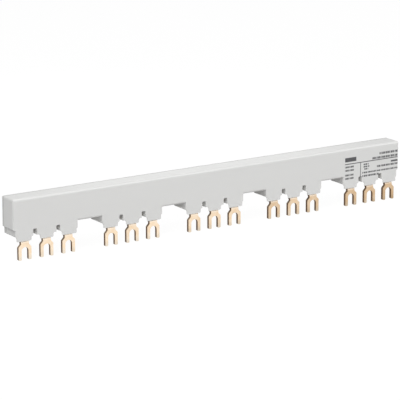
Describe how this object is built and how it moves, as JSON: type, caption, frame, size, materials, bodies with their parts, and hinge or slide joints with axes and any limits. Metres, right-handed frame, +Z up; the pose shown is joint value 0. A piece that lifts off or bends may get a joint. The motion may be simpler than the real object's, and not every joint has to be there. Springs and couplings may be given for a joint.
{
  "type": "fork comb busbar",
  "caption": "Insulated three-phase comb busbar with forked copper tabs that clamp under the terminal screws of a row of motor starters.",
  "frame": {"origin": "centre of the middle fork's slot, where its round end begins, on the front face of the copper", "axes": "+X along the busbar from phase L1 to L3, +Y from the front face to the back, +Z up, forks pointing down"},
  "size_m": [0.2572, 0.0125, 0.0341],
  "materials": {
    "housing": "light grey moulded plastic, fine satin grain",
    "cover": "light grey moulded plastic, fine satin grain",
    "copper": "bare stamped copper, satin, bright edges",
    "separator": "grey insulating plastic, matt"
  },
  "bodies": {
    "root": {"front_housing": "housing", "rear_cover": "cover", "phase_comb_l1": "copper", "phase_comb_l2": "copper", "phase_comb_l3": "copper", "front_separator": "separator", "rear_separator": "separator"}
  },
  "joints": []
}
